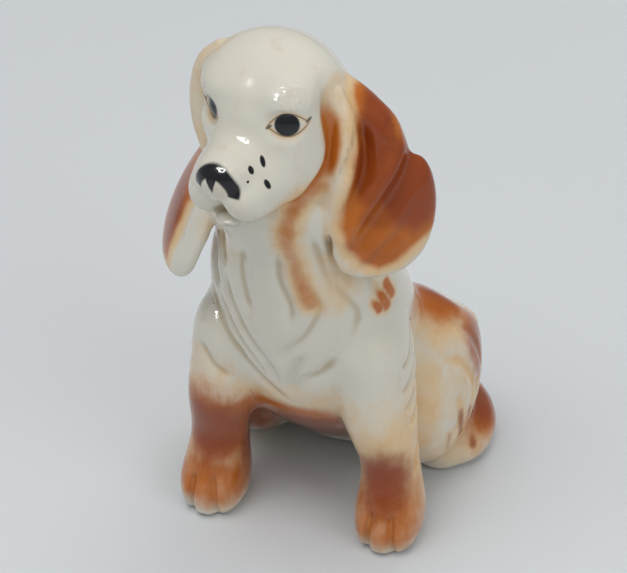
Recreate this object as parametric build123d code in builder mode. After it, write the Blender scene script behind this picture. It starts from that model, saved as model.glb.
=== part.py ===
"""Seated spaniel figurine in glazed ceramic.

The figure is built the way a pottery builds it: separate castings, luted to each other face to face while the
clay is soft. The torso and the head are hollow castings, joined at a flat seam round the neck. The ears, forelegs,
haunches, hind feet and tail are cast on their own, and each is trimmed to the casting that carries it.

Frame, in millimetres: the floor is Z = 0, the dog faces -Y, and its left side is at +X.
"""

import os
from math import copysign, cos, radians, sin

from build123d import *

# Hollow castings
wall = 3.0
vent_diameter = 3.5  # lets kiln air out of the torso, through its base
air_hole_diameter = 3.0  # joins the hollow of the head to that of the torso
vent_y = 21.5

# Torso: a stack of level rings from the base to the neck seam
torso_height = 68.5
chest_width = 35.0
torso_rings = (  # share of the height, share of the half width, front y, back y
    (0.00, 0.58, 14.5, 29.0),
    (0.08, 0.80, 8.0, 32.0),
    (0.21, 0.96, -2.0, 32.0),
    (0.35, 1.00, -11.0, 28.0),
    (0.50, 0.96, -16.5, 21.5),
    (0.66, 0.93, -19.5, 13.0),
    (0.83, 0.80, -21.5, 4.5),
    (0.94, 0.66, -23.5, -1.0),
    (1.00, 0.60, -25.0, -3.0),
)

# Head: skull, muzzle and a stub of neck
head_width = 24.8
head_length = 25.0  # the skull alone, nape to brow
head_rise = 14.4  # neck seam to the middle of the skull
head_reach = 0.9  # how far the middle of the skull is ahead of the middle of the neck
head_shift = -2.2  # and how far towards the dog's left
head_turn = -12.5  # degrees, towards the dog's right
head_tilt = 5.8  # degrees, its right side lower
muzzle_length = 17.8  # middle of the skull to the nose
muzzle_width = 14.0
muzzle_height = 12.0
muzzle_drop = 1.8  # the muzzle springs from below the middle of the skull
muzzle_droop = 8.0  # degrees that the muzzle points down

# Ears: each a thin flap hanging beside the cheek
ear_length = 31.0
ear_width = 17.6
ear_thickness = 4.4
ear_flare = 50.0  # degrees that the back edge of the flap stands out from the cheek
ear_root_rise = 5.0  # top of the ear above the middle of the skull
ear_root_back = 0.8
right_ear_drop = 4.0  # how much lower, further forward and further out the right ear hangs
right_ear_forward = 5.0
right_ear_out = 14.0

# Forelegs, each with its paw
paw_spread = 31.6
paw_width = 11.4
paw_length = 15.0
paw_front = -15.5  # y of the toes
foreleg_width = 11.0
foreleg_depth = 12.0
foreleg_height = 46.0
shoulder_spread = 22.0

# Haunches and hind feet
haunch_length = 29.0
haunch_height = 34.0
haunch_bulge = 7.0  # how far a haunch stands out of the torso's widest ring
haunch_y = 14.0
hind_foot_length = 21.0
hind_foot_width = 12.0
hind_foot_height = 10.0
hind_foot_y = 20.5
hind_foot_spread = 35.0
hind_foot_toe_out = 6.0  # degrees

# Tail
tail_diameter = 9.0

ring_points = 16

# The sizes above are laid out from a point between the forelegs. The frame's origin is the middle of the whole
# figure's outline, tail and muzzle included.
middle_x = 1.04
middle_y = 2.50


def ring(half_x, half_y, squareness=2.0):
    """Points round a closed outline about the sketch's origin: an ellipse at squareness 2, boxier above."""
    points = []
    for step in range(ring_points):
        angle = radians(360 * step / ring_points)
        across = copysign(abs(cos(angle)) ** (2 / squareness), cos(angle))
        along = copysign(abs(sin(angle)) ** (2 / squareness), sin(angle))
        points.append((half_x * across, half_y * along))
    return points


def ring_loft(rings):
    """Solid lofted through rings, each (plane, half width, half depth, squareness)."""
    with BuildPart() as stack:
        for plane, half_x, half_y, squareness in rings:
            with BuildSketch(plane):
                with BuildLine():
                    Spline(*ring(half_x, half_y, squareness), periodic=True)
                make_face()
        loft()
    return stack.part


def shrunk(rings, thickness):
    """The rings of a hollow: each ring drawn in by the wall."""
    return [(plane, x - thickness, y - thickness, squareness) for plane, x, y, squareness in rings]


def finish(piece, name):
    """Moves a finished casting into the figure's frame, labels it and writes it as one node."""
    node = piece.part.moved(Location((-middle_x, -middle_y, 0)))
    node.label = name
    export_step(node, f"parts/{name}.step")


os.makedirs("parts", exist_ok=True)

# Torso blank and its hollow. The hollow's ends stop one wall short of the base and of the neck seam.
torso_stack = []
hollow_stack = []
for share, width_share, front, back in torso_rings:
    height = share * torso_height
    half_x = width_share * chest_width / 2
    half_y = (back - front) / 2
    centre_y = (front + back) / 2
    hollow_height = wall + share * (torso_height - 2 * wall)
    torso_stack.append((Plane((0, centre_y, height)), half_x, half_y, 2.0))
    hollow_stack.append((Plane((0, centre_y, hollow_height)), half_x, half_y, 2.0))
torso_blank = ring_loft(torso_stack)
torso_hollow = ring_loft(shrunk(hollow_stack, wall))

neck_plane, neck_half_x, neck_half_y, neck_squareness = torso_stack[-1]
neck_y = neck_plane.origin.Y

with BuildPart() as torso:
    add(torso_blank)
    add(torso_hollow, mode=Mode.SUBTRACT)
    with Locations((0, vent_y, wall)):
        Cylinder(vent_diameter / 2, 4 * wall, mode=Mode.SUBTRACT)
    with Locations((0, neck_y, torso_height)):
        Cylinder(air_hole_diameter / 2, 4 * wall, mode=Mode.SUBTRACT)
finish(torso, "torso")

# Head frame: out to the dog's left, ahead along the face, and up
turn = radians(head_turn)
tilt = radians(head_tilt)
ahead = Vector(sin(turn), -cos(turn), 0)
left = Vector(cos(turn) * cos(tilt), sin(turn) * cos(tilt), sin(tilt))
up = left.cross(ahead) * -1
skull_centre = Vector(0, neck_y, torso_height + head_rise) + ahead * head_reach + left * head_shift


def in_head(to_left, forward, rise):
    """Point in the head frame, from the middle of the skull."""
    return skull_centre + left * to_left + ahead * forward + up * rise


def spheroid(centre, axis, across, half_length, half_width):
    """Egg form about axis: half_length along it and half_width across, lofted from level slices."""
    rings = []
    for step in range(1, ring_points):
        angle = radians(180 * step / ring_points)
        plane = Plane(centre - axis * (half_length * cos(angle)), x_dir=across, z_dir=axis)
        rings.append((plane, half_width * sin(angle), half_width * sin(angle), 2.0))
    return ring_loft(rings)


# Head blank: skull, muzzle and neck stub
skull = spheroid(skull_centre, ahead, left, head_length / 2, head_width / 2)
skull_hollow = spheroid(skull_centre, ahead, left, head_length / 2 - wall, head_width / 2 - wall)
droop = radians(muzzle_droop)
muzzle_axis = ahead * cos(droop) - up * sin(droop)
muzzle_rings = (  # share of the length, share of the width and height
    (0.00, 1.20),
    (0.45, 1.12),
    (0.74, 1.00),
    (0.91, 0.82),
    (1.00, 0.50),
)
muzzle_stack = []
for share, size in muzzle_rings:
    origin = in_head(0, 0, -muzzle_drop) + muzzle_axis * (share * muzzle_length)
    plane = Plane(origin, x_dir=left, z_dir=muzzle_axis)
    muzzle_stack.append((plane, size * muzzle_width / 2, size * muzzle_height / 2, 2.3))
muzzle = ring_loft(muzzle_stack)
neck_stub_stack = [
    (neck_plane, neck_half_x, neck_half_y, neck_squareness),
    (neck_plane.offset(0.45 * head_rise), 0.96 * neck_half_x, 0.96 * neck_half_y, neck_squareness),
    (neck_plane.offset(0.80 * head_rise), 0.86 * neck_half_x, 0.86 * neck_half_y, neck_squareness),
]
neck_stub = ring_loft(neck_stub_stack)

with BuildPart() as head_solid:
    add(skull)
    add(muzzle)
    add(neck_stub)
    split(bisect_by=Plane((0, 0, torso_height)), keep=Keep.TOP)
head_blank = head_solid.part

with BuildPart() as head:
    add(head_blank)
    with Locations((0, neck_y, torso_height)):
        Cylinder(air_hole_diameter / 2, head_rise, align=(Align.CENTER, Align.CENTER, Align.MIN), mode=Mode.SUBTRACT)
    add(skull_hollow, mode=Mode.SUBTRACT)
finish(head, "head")

# Ears: share of the length down, share of the width, share of the thickness, out from the cheek, forward
ear_rings = (
    (0.00, 0.40, 0.60, -3.6, -1.5),
    (0.10, 0.52, 0.85, -1.8, -1.5),
    (0.28, 0.64, 0.95, 0.4, -1.8),
    (0.50, 0.88, 1.00, 2.6, -1.5),
    (0.72, 1.00, 1.00, 3.4, -1.0),
    (0.88, 0.90, 0.95, 3.2, -0.5),
    (0.97, 0.64, 0.80, 2.8, -0.2),
    (1.00, 0.36, 0.60, 2.6, 0.0),
)


def ear_blank(side):
    """Ear flap on one side: +1 for the left, -1 for the right."""
    flare = radians(ear_flare)
    along = left * (side * sin(flare)) - ahead * cos(flare)
    drop, swing, lift = (right_ear_drop, right_ear_forward, right_ear_out) if side < 0 else (0, 0, 0)
    rings = []
    for share, width_share, thickness_share, outward, forward in ear_rings:
        origin = in_head(
            side * (head_width / 2 + outward + (share - 0.7) * lift),
            forward + share * swing - ear_root_back,
            ear_root_rise - share * (ear_length + drop),
        )
        plane = Plane(origin, x_dir=along, z_dir=up)
        rings.append((plane, width_share * ear_width / 2, thickness_share * ear_thickness / 2, 2.0))
    return ring_loft(rings)


for name, side in (("left_ear", 1), ("right_ear", -1)):
    with BuildPart() as trimmed:
        add(ear_blank(side))
        add(head_blank, mode=Mode.SUBTRACT)
        add(torso_blank, mode=Mode.SUBTRACT)
    with BuildPart() as ear:  # the root runs into the skull: only the flap outside it is the ear
        add(trimmed.solids().sort_by(SortBy.VOLUME)[-1])
    finish(ear, name)

# Forelegs: share of the height, share of the way in to the shoulder, half width, front y, back y
foreleg_rings = (
    (0.00, 0.00, 0.45 * paw_width, paw_front + 1.2, paw_front + paw_length - 1.0),
    (0.07, 0.00, 0.50 * paw_width, paw_front, paw_front + paw_length),
    (0.17, 0.02, 0.50 * paw_width, paw_front + 1.0, paw_front + paw_length),
    (0.27, 0.08, 0.46 * foreleg_width, paw_front + 3.2, paw_front + 3.2 + 0.95 * foreleg_depth),
    (0.45, 0.30, 0.50 * foreleg_width, paw_front + 2.0, paw_front + 2.0 + foreleg_depth),
    (0.65, 0.62, 0.58 * foreleg_width, paw_front + 0.5, paw_front + 1.5 + 1.15 * foreleg_depth),
    (0.82, 0.84, 0.60 * foreleg_width, paw_front, paw_front + 1.5 + 1.25 * foreleg_depth),
    (0.94, 1.00, 0.46 * foreleg_width, paw_front + 2.0, paw_front + 1.2 * foreleg_depth),
    (1.00, 1.06, 0.20 * foreleg_width, paw_front + 5.0, paw_front + 0.9 * foreleg_depth),
)


def foreleg_blank(side):
    """Foreleg and paw on one side."""
    rings = []
    for share, inward, half_x, front, back in foreleg_rings:
        x = side * (paw_spread - inward * (paw_spread - shoulder_spread)) / 2
        rings.append((Plane((x, (front + back) / 2, share * foreleg_height)), half_x, (back - front) / 2, 2.3))
    return ring_loft(rings)


for name, side in (("left_foreleg", 1), ("right_foreleg", -1)):
    with BuildPart() as foreleg:
        add(foreleg_blank(side))
        add(torso_blank, mode=Mode.SUBTRACT)
    finish(foreleg, name)

# Haunches: round cushions half sunk in the torso's side
widest_half = max(width_share for _, width_share, _, _ in torso_rings) * chest_width / 2
haunch_sunk = 8.0
haunch_z = 0.56 * haunch_height


def haunch_blank(side):
    """Haunch on one side."""
    centre = Vector(side * (widest_half - haunch_sunk), haunch_y, haunch_z)
    rings = []
    for share, size in ((0.0, 0.9), (0.4, 1.0), (0.68, 0.9), (0.88, 0.62), (1.0, 0.22)):
        plane = Plane(
            centre + Vector(side * share * (haunch_sunk + haunch_bulge), 0, 0),
            x_dir=(0, 1, 0),
            z_dir=(side, 0, 0),
        )
        rings.append((plane, size * haunch_length / 2, size * haunch_height / 2, 2.0))
    return ring_loft(rings)


# Hind feet: share of the height, share of the length and width
hind_foot_rings = ((0.00, 0.93), (0.25, 1.00), (0.55, 0.93), (0.82, 0.70), (1.00, 0.36))


def hind_foot_blank(side):
    """Hind foot on one side, its toes turned out."""
    toe_out = radians(hind_foot_toe_out)
    x = side * hind_foot_spread / 2
    rings = []
    for share, size in hind_foot_rings:
        plane = Plane(
            (x, hind_foot_y, share * hind_foot_height),
            x_dir=(cos(toe_out), side * sin(toe_out), 0),
        )
        rings.append((plane, size * hind_foot_width / 2, size * hind_foot_length / 2, 2.2))
    return ring_loft(rings)


haunch_blanks = {}
for prefix, side in (("left", 1), ("right", -1)):
    haunch_blanks[prefix] = haunch_blank(side)
    with BuildPart() as haunch:
        add(haunch_blanks[prefix])
        add(torso_blank, mode=Mode.SUBTRACT)
        add(foreleg_blank(side), mode=Mode.SUBTRACT)
    finish(haunch, f"{prefix}_haunch")
    with BuildPart() as hind_foot:
        add(hind_foot_blank(side))
        add(torso_blank, mode=Mode.SUBTRACT)
        add(haunch_blanks[prefix], mode=Mode.SUBTRACT)
    finish(hind_foot, f"{prefix}_hind_foot")

# Tail: curled on the floor round the left haunch. Each ring: share of the diameter, then x, y and z
tail_rings = (
    (0.90, -2.0, 31.0, 5.4),
    (1.00, 6.0, 33.0, 4.8),
    (1.00, 13.0, 32.0, 4.5),
    (1.00, 18.9, 27.6, 4.4),
    (0.98, 22.0, 22.0, 4.2),
    (0.78, 22.6, 16.8, 3.4),
    (0.40, 21.8, 13.2, 2.3),
)
tail_stack = []
for number, (size, x, y, z) in enumerate(tail_rings):
    before = Vector(*tail_rings[max(number - 1, 0)][1:])
    after = Vector(*tail_rings[min(number + 1, len(tail_rings) - 1)][1:])
    heading = (after - before).normalized()
    level = Vector(-heading.Y, heading.X, 0).normalized()
    tail_stack.append((Plane((x, y, z), x_dir=level, z_dir=heading), size * tail_diameter / 2, size * tail_diameter / 2, 2.0))
with BuildPart() as tail:
    add(ring_loft(tail_stack))
    add(torso_blank, mode=Mode.SUBTRACT)
    add(haunch_blanks["left"], mode=Mode.SUBTRACT)
    add(hind_foot_blank(1), mode=Mode.SUBTRACT)
    split(bisect_by=Plane.XY, keep=Keep.TOP)
finish(tail, "tail")
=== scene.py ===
"""Looks of the seated spaniel figurine: glazed, hand-painted pottery.

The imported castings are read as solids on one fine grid. There they are melted together, modelled further
(face, ear folds, fur, toes) as clay would be, and cut apart again along the castings' own seams, so that
every casting gets a smooth skin that meets its neighbours exactly. Lengths on the grid are millimetres from
the layout point, which is on the floor, midway between the haunches and a little behind the forepaws' toes.

A form is a signed distance, negative inside. A side is 1 for the dog's left and -1 for its right, and what
comes in pairs is given for the left.
"""

import math

import bpy
import numpy as np
import openvdb
from mathutils import Matrix, Vector


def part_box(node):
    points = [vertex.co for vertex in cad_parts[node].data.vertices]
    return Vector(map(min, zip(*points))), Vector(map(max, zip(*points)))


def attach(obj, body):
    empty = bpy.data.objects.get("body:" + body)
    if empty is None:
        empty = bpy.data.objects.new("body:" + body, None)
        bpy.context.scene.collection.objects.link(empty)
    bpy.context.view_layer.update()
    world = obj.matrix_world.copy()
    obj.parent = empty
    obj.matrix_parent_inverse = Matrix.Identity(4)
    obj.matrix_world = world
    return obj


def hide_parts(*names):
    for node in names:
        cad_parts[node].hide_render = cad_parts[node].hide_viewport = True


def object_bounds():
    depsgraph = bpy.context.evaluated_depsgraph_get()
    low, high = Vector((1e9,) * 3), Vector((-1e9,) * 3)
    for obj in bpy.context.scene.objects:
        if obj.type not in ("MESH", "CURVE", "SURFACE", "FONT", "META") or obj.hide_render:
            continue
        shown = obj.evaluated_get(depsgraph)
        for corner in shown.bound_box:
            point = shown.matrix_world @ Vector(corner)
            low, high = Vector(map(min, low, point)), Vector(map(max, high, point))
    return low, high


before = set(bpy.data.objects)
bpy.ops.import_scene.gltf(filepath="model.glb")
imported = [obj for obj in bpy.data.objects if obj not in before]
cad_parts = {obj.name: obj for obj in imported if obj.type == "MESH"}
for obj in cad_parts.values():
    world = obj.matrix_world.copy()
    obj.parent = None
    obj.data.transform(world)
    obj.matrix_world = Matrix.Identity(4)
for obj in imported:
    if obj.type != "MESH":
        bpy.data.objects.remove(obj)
cad_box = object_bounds()

MM = 0.001
VOXEL = 0.42
BAND = 6.0  # how far from the castings their distances are kept
MARGIN = 3.0  # of the grid, round the castings

CASTINGS = (
    "torso", "head", "left_ear", "right_ear", "left_foreleg", "right_foreleg",
    "left_haunch", "right_haunch", "left_hind_foot", "right_hind_foot", "tail",
)
HOLLOW_CASTINGS = ("torso", "head")
EARS = ("left_ear", "right_ear")
SIDES = (1.0, -1.0)


# ---------------- layout

def box_mm(*nodes):
    """Lowest and highest corner of some castings, in millimetres of the row frame."""
    corners = [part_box(node) for node in nodes]
    low = np.min([np.array(c[0]) for c in corners], axis=0) / MM
    high = np.max([np.array(c[1]) for c in corners], axis=0) / MM
    return low, high


TOES_AHEAD = 15.5  # toes of the forepaws, ahead of the layout point
CROWN_RISE = 12.4  # crown above the middle of the skull

haunch_low, haunch_high = box_mm("left_haunch", "right_haunch")
foreleg_low = box_mm("left_foreleg", "right_foreleg")[0]
head_high = box_mm("head")[1]
LAYOUT = np.array([(haunch_low[0] + haunch_high[0]) / 2, foreleg_low[1] + TOES_AHEAD, 0.0])

HEAD_TURN = math.radians(-12.5)  # towards its right
HEAD_TILT = math.radians(5.8)  # its right side lower
AHEAD = np.array([math.sin(HEAD_TURN), -math.cos(HEAD_TURN), 0.0])
LEFT = np.array([
    math.cos(HEAD_TURN) * math.cos(HEAD_TILT),
    math.sin(HEAD_TURN) * math.cos(HEAD_TILT),
    math.sin(HEAD_TILT),
])
UP = np.cross(AHEAD, LEFT)
HEAD = np.array([-2.3, -14.4, head_high[2] - CROWN_RISE])  # middle of the skull


def to_row(points):
    """Layout millimetres to metres of the row frame."""
    return (np.asarray(points) + LAYOUT) * MM


def in_head(points):
    """Layout points as (to the left, ahead, up) from the middle of the skull."""
    offset = points - HEAD
    return np.stack([offset @ LEFT, offset @ AHEAD, offset @ UP], axis=-1)


def from_head(left, ahead, up):
    """Point in the layout from (to the left, ahead, up) of the middle of the skull."""
    return HEAD + LEFT * left + AHEAD * ahead + UP * up


# ---------------- grid

cad_low = np.array(cad_box[0]) / MM - LAYOUT - MARGIN
cad_high = np.array(cad_box[1]) / MM - LAYOUT + MARGIN
SHAPE = tuple(int(n) for n in np.ceil((cad_high - cad_low) / VOXEL) + 1)


def casting_distance(node):
    """Signed distance from a casting on the grid."""
    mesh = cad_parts[node].data
    mesh.calc_loop_triangles()
    corners = np.empty(len(mesh.vertices) * 3, np.float32)
    mesh.vertices.foreach_get("co", corners)
    triangles = np.empty(len(mesh.loop_triangles) * 3, np.int32)
    mesh.loop_triangles.foreach_get("vertices", triangles)
    corners = (corners.reshape(-1, 3) / MM - LAYOUT - cad_low).astype(np.float32)
    grid = openvdb.FloatGrid.createLevelSetFromPolygons(
        corners,
        triangles=triangles.reshape(-1, 3).astype(np.uint32),
        transform=openvdb.createLinearTransform(voxelSize=VOXEL),
        halfWidth=BAND / VOXEL,
    )
    distance = np.empty(SHAPE, np.float32)
    grid.copyToArray(distance)
    return distance


def shifted(volume, axis, step, fill):
    """The volume moved by one voxel along an axis."""
    moved = np.full_like(volume, fill)
    source = [slice(None)] * 3
    target = [slice(None)] * 3
    source[axis] = slice(0, -1) if step > 0 else slice(1, None)
    target[axis] = slice(1, None) if step > 0 else slice(0, -1)
    moved[tuple(target)] = volume[tuple(source)]
    return moved


def enclosed(solid):
    """Voxels with the solid on all six sides of them: the solid and its sealed hollow."""
    inside = np.ones_like(solid)
    for axis in range(3):
        inside &= np.logical_or.accumulate(solid, axis=axis)
        inside &= np.flip(np.logical_or.accumulate(np.flip(solid, axis), axis=axis), axis)
    return inside


def share_of_voxel(distance, hollow):
    """How much of each voxel the casting fills, its hollow counted as full."""
    share = np.clip(0.5 - distance / VOXEL, 0, 1)
    if hollow:
        deep = enclosed(distance < 0)
        for axis in range(3):
            deep = deep & shifted(deep, axis, 1, False) & shifted(deep, axis, -1, False)
        share[deep] = 1
    return share


def blurred(volume, sigma):
    """Gaussian blur, sigma in millimetres."""
    reach = int(math.ceil(2.6 * sigma / VOXEL))
    steps = np.arange(-reach, reach + 1)
    weights = np.exp(-0.5 * (steps * VOXEL / sigma) ** 2)
    weights /= weights.sum()
    for axis in range(3):
        result = np.zeros_like(volume)
        length = volume.shape[axis]
        for step, weight in zip(steps, weights):
            source = [slice(None)] * 3
            target = [slice(None)] * 3
            source[axis] = slice(max(0, -step), length - max(0, step))
            target[axis] = slice(max(0, step), length - max(0, -step))
            result[tuple(target)] += np.float32(weight) * volume[tuple(source)]
        volume = result
    return volume


LOGISTIC = 1.702  # a blurred edge is close to a logistic curve of sigma divided by this


def softened(share, sigma):
    """Distance from the blurred solid."""
    full = np.clip(blurred(share, sigma), 1e-4, 1 - 1e-4)
    return (-sigma / LOGISTIC * np.log(full / (1 - full))).astype(np.float32)


# ---------------- clay tools, on arrays of points and distances

def smooth_union(first, second, blend):
    """Both forms, with a fillet of about the blend."""
    h = np.clip(0.5 + 0.5 * (second - first) / blend, 0, 1)
    return second + (first - second) * h - blend * h * (1 - h)


def smooth_cut(form, tool, blend):
    """The form with the tool taken away, its edge eased by the blend."""
    return -smooth_union(-form, tool, blend)


def egg(points, centre, radii, axes=None):
    """Ellipsoid."""
    offset = points - np.asarray(centre)
    if axes is not None:
        offset = offset @ np.asarray(axes).T
    radii = np.asarray(radii, float)
    scaled = np.linalg.norm(offset / radii, axis=-1)
    steep = np.linalg.norm(offset / radii ** 2, axis=-1)
    return scaled * (scaled - 1) / np.maximum(steep, 1e-6)


def to_line(points, line):
    """Distance to a line of straight runs, and how far along it the nearest point is, from 0 to 1."""
    line = np.asarray(line, float)
    runs = np.linalg.norm(np.diff(line, axis=0), axis=1)
    starts = np.concatenate([[0], np.cumsum(runs)])
    best = np.full(len(points), 1e9)
    along = np.zeros(len(points))
    for start, end, run, travelled in zip(line[:-1], line[1:], runs, starts):
        direction = (end - start) / run
        t = np.clip((points - start) @ direction, 0, run)
        distance = np.linalg.norm(points - start - t[:, None] * direction, axis=1)
        nearer = distance < best
        best[nearer] = distance[nearer]
        along[nearer] = (travelled + t[nearer]) / starts[-1]
    return best, along


def bent(line, per_run=4):
    """The line rounded through its points."""
    line = np.asarray(line, float)
    padded = np.vstack([2 * line[0] - line[1], line, 2 * line[-1] - line[-2]])
    rounded = []
    for a, b, c, d in zip(padded[:-3], padded[1:-2], padded[2:-1], padded[3:]):
        for step in range(per_run):
            t = step / per_run
            square, cube = 2 * a - 5 * b + 4 * c - d, 3 * b - a - 3 * c + d
            rounded.append(0.5 * (2 * b + (c - a) * t + square * t * t + cube * t ** 3))
    rounded.append(line[-1])
    return np.array(rounded)


FADE = 0.22  # share of a stroke's length over which each end fades


def stroke(points, line, width, depth):
    """Depth of a groove, or height of a fold if the depth is negative, that fades towards its ends."""
    line = bent(line)
    low = line.min(axis=0) - 3 * width
    high = line.max(axis=0) + 3 * width
    near = np.all((points > low) & (points < high), axis=1)
    result = np.zeros(len(points))
    distance, along = to_line(points[near], line)
    fade = np.clip(np.minimum(along, 1 - along) / FADE, 0.15, 1)
    result[near] = depth * fade * np.exp(-((distance / width) ** 2))
    return result


def ramp(value, start, end):
    """Smooth step from 0 at start to 1 at end."""
    t = np.clip((value - start) / (end - start), 0, 1)
    return t * t * (3 - 2 * t)


def on_side(line, side):
    """Points given for the left, on either side."""
    return [(side * x, y, z) for x, y, z in line]


# ---------------- directions of the face, eyes and ears

FACE_SHIFT = 3.1  # the face sits a little to the left on the skull
FACE_TURN = math.radians(5.0)
EYE = (6.9, 8.9, 3.2)
EYE_TURN = math.radians(33.0)  # the eyes look a little sideways
EAR_FLARE = math.radians(50.0)  # the ears' flaps run outwards and back


def in_face(points):
    """Layout points as (left, ahead, up) of the face."""
    q = in_head(points)
    left = q[:, 0] - FACE_SHIFT
    return np.stack([
        left * math.cos(FACE_TURN) + q[:, 1] * math.sin(FACE_TURN),
        q[:, 1] * math.cos(FACE_TURN) - left * math.sin(FACE_TURN),
        q[:, 2],
    ], axis=-1)


def from_face(left, ahead, up):
    """Point in the layout from (left, ahead, up) of the face."""
    return from_head(
        FACE_SHIFT + left * math.cos(FACE_TURN) - ahead * math.sin(FACE_TURN),
        ahead * math.cos(FACE_TURN) + left * math.sin(FACE_TURN),
        up,
    )


def eye_axes(side):
    """Directions in the face at an eye: to its outer corner, out of it, and up."""
    outer = (side * math.cos(EYE_TURN), -math.sin(EYE_TURN), 0.0)
    out = (side * math.sin(EYE_TURN), math.cos(EYE_TURN), 0.0)
    return outer, out, (0.0, 0.0, 1.0)


def in_ear(points, side):
    """Layout points as (along the flap, out of its face, up) from the middle of the skull."""
    along = LEFT * (side * math.sin(EAR_FLARE)) - AHEAD * math.cos(EAR_FLARE)
    outward = LEFT * (side * math.cos(EAR_FLARE)) + AHEAD * math.sin(EAR_FLARE)
    offset = points - HEAD
    return np.stack([offset @ axis for axis in (along, outward, UP)], axis=-1)


# ---------------- the castings melted together

BODY_SOFT = 1.25
EAR_SOFT = 0.8

distances = {node: casting_distance(node) for node in CASTINGS}


def melted(nodes, sigma):
    """Castings as one soft form."""
    total = np.zeros(SHAPE, np.float32)
    for node in nodes:
        total += share_of_voxel(distances[node], node in HOLLOW_CASTINGS)
    return softened(np.clip(total, 0, 1), sigma)


body = melted([node for node in CASTINGS if node not in EARS], BODY_SOFT)
ears = melted(EARS, EAR_SOFT)

# only the voxels near the surface are modelled further
NEAR_OUTSIDE = 4.0
NEAR_INSIDE = 8.0
close = (np.minimum(body, ears) < NEAR_OUTSIDE) & (np.maximum(body, ears) > -NEAR_INSIDE)
near_points = np.argwhere(close) * VOXEL + cad_low


# ---------------- head

CUT_AHEAD = 3.2  # what is ahead of this and between these heights on the skull gives way to the face
CUT_TOP = 7.0
CUT_BOTTOM = -12.5
# the face's parts, each (centre, radii) in its directions
MUZZLE_SHIFT = -0.8
FACE = ((-0.8, 1.5, 0.8), (12.2, 10.6, 11.4))
LEFT_HALF_WIDTH = 9.2  # of the face, beyond which it gives way to the ears' rolled fronts
RIGHT_HALF_WIDTH = 11.0
CHEEK = ((5.0, 5.0, -5.0), (3.6, 5.6, 5.6))
MUZZLE = ((MUZZLE_SHIFT, 11.5, -3.8), (5.8, 7.6, 4.8))
FLEW = ((3.3, 12.0, -6.7), (3.8, 6.3, 4.5))  # to the sides of the muzzle's middle
NOSE = ((0.0, 15.6, -2.6), (3.8, 3.0, 2.5))
LIP_GAP = ((MUZZLE_SHIFT, 17.4, -10.2), (2.8, 3.2, 1.6))
CHIN = ((MUZZLE_SHIFT, 13.1, -11.1), (3.1, 3.9, 1.5))
BROW = ((5.4, 6.6, 6.4), (3.4, 3.2, 2.4))
SOCKET = (1.0, (3.6, 1.3, 2.3))  # distance out from the eye's place, and radii
EYEBALL = (-1.8, (3.1, 2.3, 2.3))
CHEEK_GROOVE = ((8.6, 2.2, 7.5), (9.1, 2.4, 3.0), (9.2, 2.2, -3.6), (7.8, 5.6, -8.4), (5.6, 8.2, -11.4))
THROAT = ((-1.5, -15.2, 69.5), (11.0, 8.6, 10.0))  # in the layout


def skull_without_face(form, q):
    """The skull with its front cut back for the narrower face."""
    cut = smooth_union(q[:, 1] - CUT_AHEAD, CUT_TOP - q[:, 2], 5.0)
    cut = np.minimum(cut, q[:, 2] - CUT_BOTTOM)
    return smooth_cut(form, -cut, 2.0)


def muzzle_form(q):
    """Muzzle with its flews, nose and the gap of the mouth."""
    muzzle = egg(q, *MUZZLE)
    (across, ahead, up), radii = FLEW
    for side in SIDES:
        muzzle = smooth_union(muzzle, egg(q, (MUZZLE_SHIFT + side * across, ahead, up), radii), 1.2)
    muzzle = smooth_union(muzzle, egg(q, *NOSE), 1.6)
    return smooth_cut(muzzle, egg(q, *LIP_GAP), 0.8)


def add_eye(face, q, side):
    """Brow, socket and eyeball on one side."""
    centre, radii = BROW
    face = smooth_union(face, egg(q, *on_side([centre], side), radii), 2.6)
    centre = np.array([side * EYE[0], EYE[1], EYE[2]])
    axes = eye_axes(side)
    out, radii = SOCKET
    face = smooth_cut(face, egg(q, centre + np.array(axes[1]) * out, radii, axes), 1.0)
    out, radii = EYEBALL
    return smooth_union(face, egg(q, centre + np.array(axes[1]) * out, radii, axes), 0.4)


def model_head(form):
    """Face in front of the rolled ear fronts: cheeks, flews, chin, brows, eye sockets and mouth."""
    p = in_face(near_points)
    near = (p[:, 2] > -18) & (p[:, 1] > -14)
    q = p[near]
    face = egg(q, *FACE)
    half_width = np.where(q[:, 0] > 0, LEFT_HALF_WIDTH, RIGHT_HALF_WIDTH)
    face = smooth_cut(face, half_width - np.abs(q[:, 0]), 2.0)
    for side in SIDES:
        centre, radii = CHEEK
        face = smooth_union(face, egg(q, *on_side([centre], side), radii), 2.0)
    face = smooth_union(face, muzzle_form(q), 2.6)
    face = smooth_union(face, egg(q, *CHIN), 0.3)
    for side in SIDES:
        face = add_eye(face, q, side)
    head = smooth_union(skull_without_face(form[near], q), face, 1.6)
    for side in SIDES:
        head = head + stroke(q, on_side(CHEEK_GROOVE, side), 1.1, 1.5)
    form[near] = head
    return form


# ---------------- ears

# rolled front edges, mirrored to the left, in the head's directions
EAR_ROLL = ((12.3, 0.2, 4.5), (13.2, 0.4, 0.0), (12.9, 1.0, -6.0), (11.8, 2.0, -12.0), (11.6, 1.6, -17.0))
RIGHT_ROLL = (
    (7.0, 1.5, 10.0), (9.6, 1.5, 7.0), (10.9, 1.2, 2.5),
    (10.8, 1.6, -2.0), (9.8, 2.6, -7.5), (9.6, 3.0, -13.0),
)
# the left ear's top and lobe, in the ear's directions
EAR_TOP = ((10.5, 4.0, 2.0), (13.5, 5.5, -0.5), (15.2, 6.5, -4.0), (15.6, 7.0, -8.0))
EAR_TOP_RADIUS = 2.9
LOBE = ((18.0, 8.0, -13.0), (4.5, 2.6, 7.5))
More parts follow.
